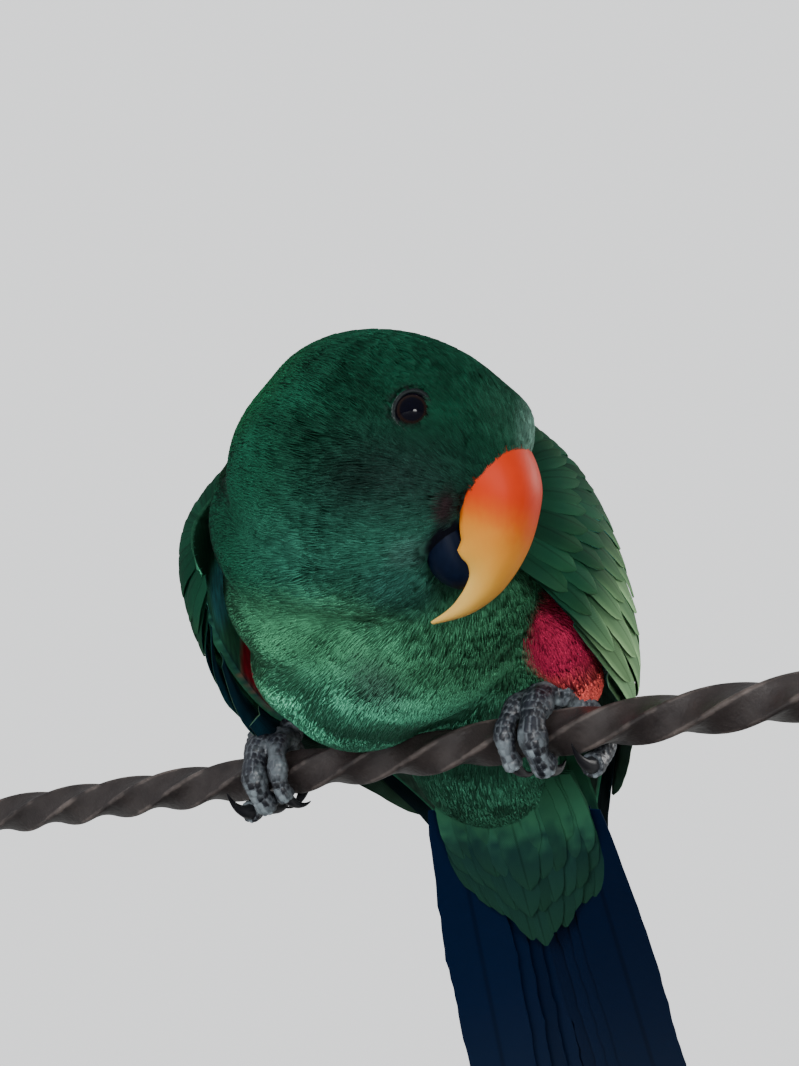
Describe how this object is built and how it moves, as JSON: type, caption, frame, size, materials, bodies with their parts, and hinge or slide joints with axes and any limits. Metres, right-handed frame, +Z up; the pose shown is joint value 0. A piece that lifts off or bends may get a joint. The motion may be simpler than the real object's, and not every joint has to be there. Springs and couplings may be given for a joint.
{
  "type": "eclectus parrot on a perch, life-size still model",
  "caption": "Green parrot with an orange hooked bill, crouched on a cut length of twisted bar with its head turned aside, held by a flat base and rods.",
  "frame": {"origin": "on the underside of the stand's base, straight below the middle of the perch", "axes": "+X along the perch towards the bird's left foot, -Y the side that the bird faces, +Z up"},
  "size_m": [0.33, 0.2352, 0.1962],
  "materials": {
    "plumage_green": "matt overlapping feathers with a faint silky sheen",
    "wing_green": "firm flight feathers, green above with dark blue edges",
    "tail_blue_black": "firm tail feathers, blue-black, satin",
    "eye": "wet gloss",
    "bill_orange": "polished horn, orange at the base and pale yellow at the tip",
    "bill_black": "polished black horn",
    "foot_grey": "dry scaled skin",
    "claw_black": "polished horn",
    "iron_paint": "worn dark brown paint",
    "stand_black": "satin black",
    "stand_steel": "brushed"
  },
  "bodies": {
    "root": {"head": "plumage_green", "neck": "plumage_green", "torso": "plumage_green", "eye_left": "eye", "eye_right": "eye", "bill_upper": "bill_orange", "bill_lower": "bill_black", "wing_left": "wing_green", "wing_right": "wing_green", "tail": "tail_blue_black", "leg_left": "foot_grey", "leg_right": "foot_grey", "claw_left_1": "claw_black", "claw_left_2": "claw_black", "claw_left_3": "claw_black", "claw_left_4": "claw_black", "claw_right_1": "claw_black", "claw_right_2": "claw_black", "claw_right_3": "claw_black", "claw_right_4": "claw_black", "perch_bar": "iron_paint", "stand_base": "stand_black", "stand_rod_left": "stand_steel", "stand_rod_right": "stand_steel"}
  },
  "joints": []
}
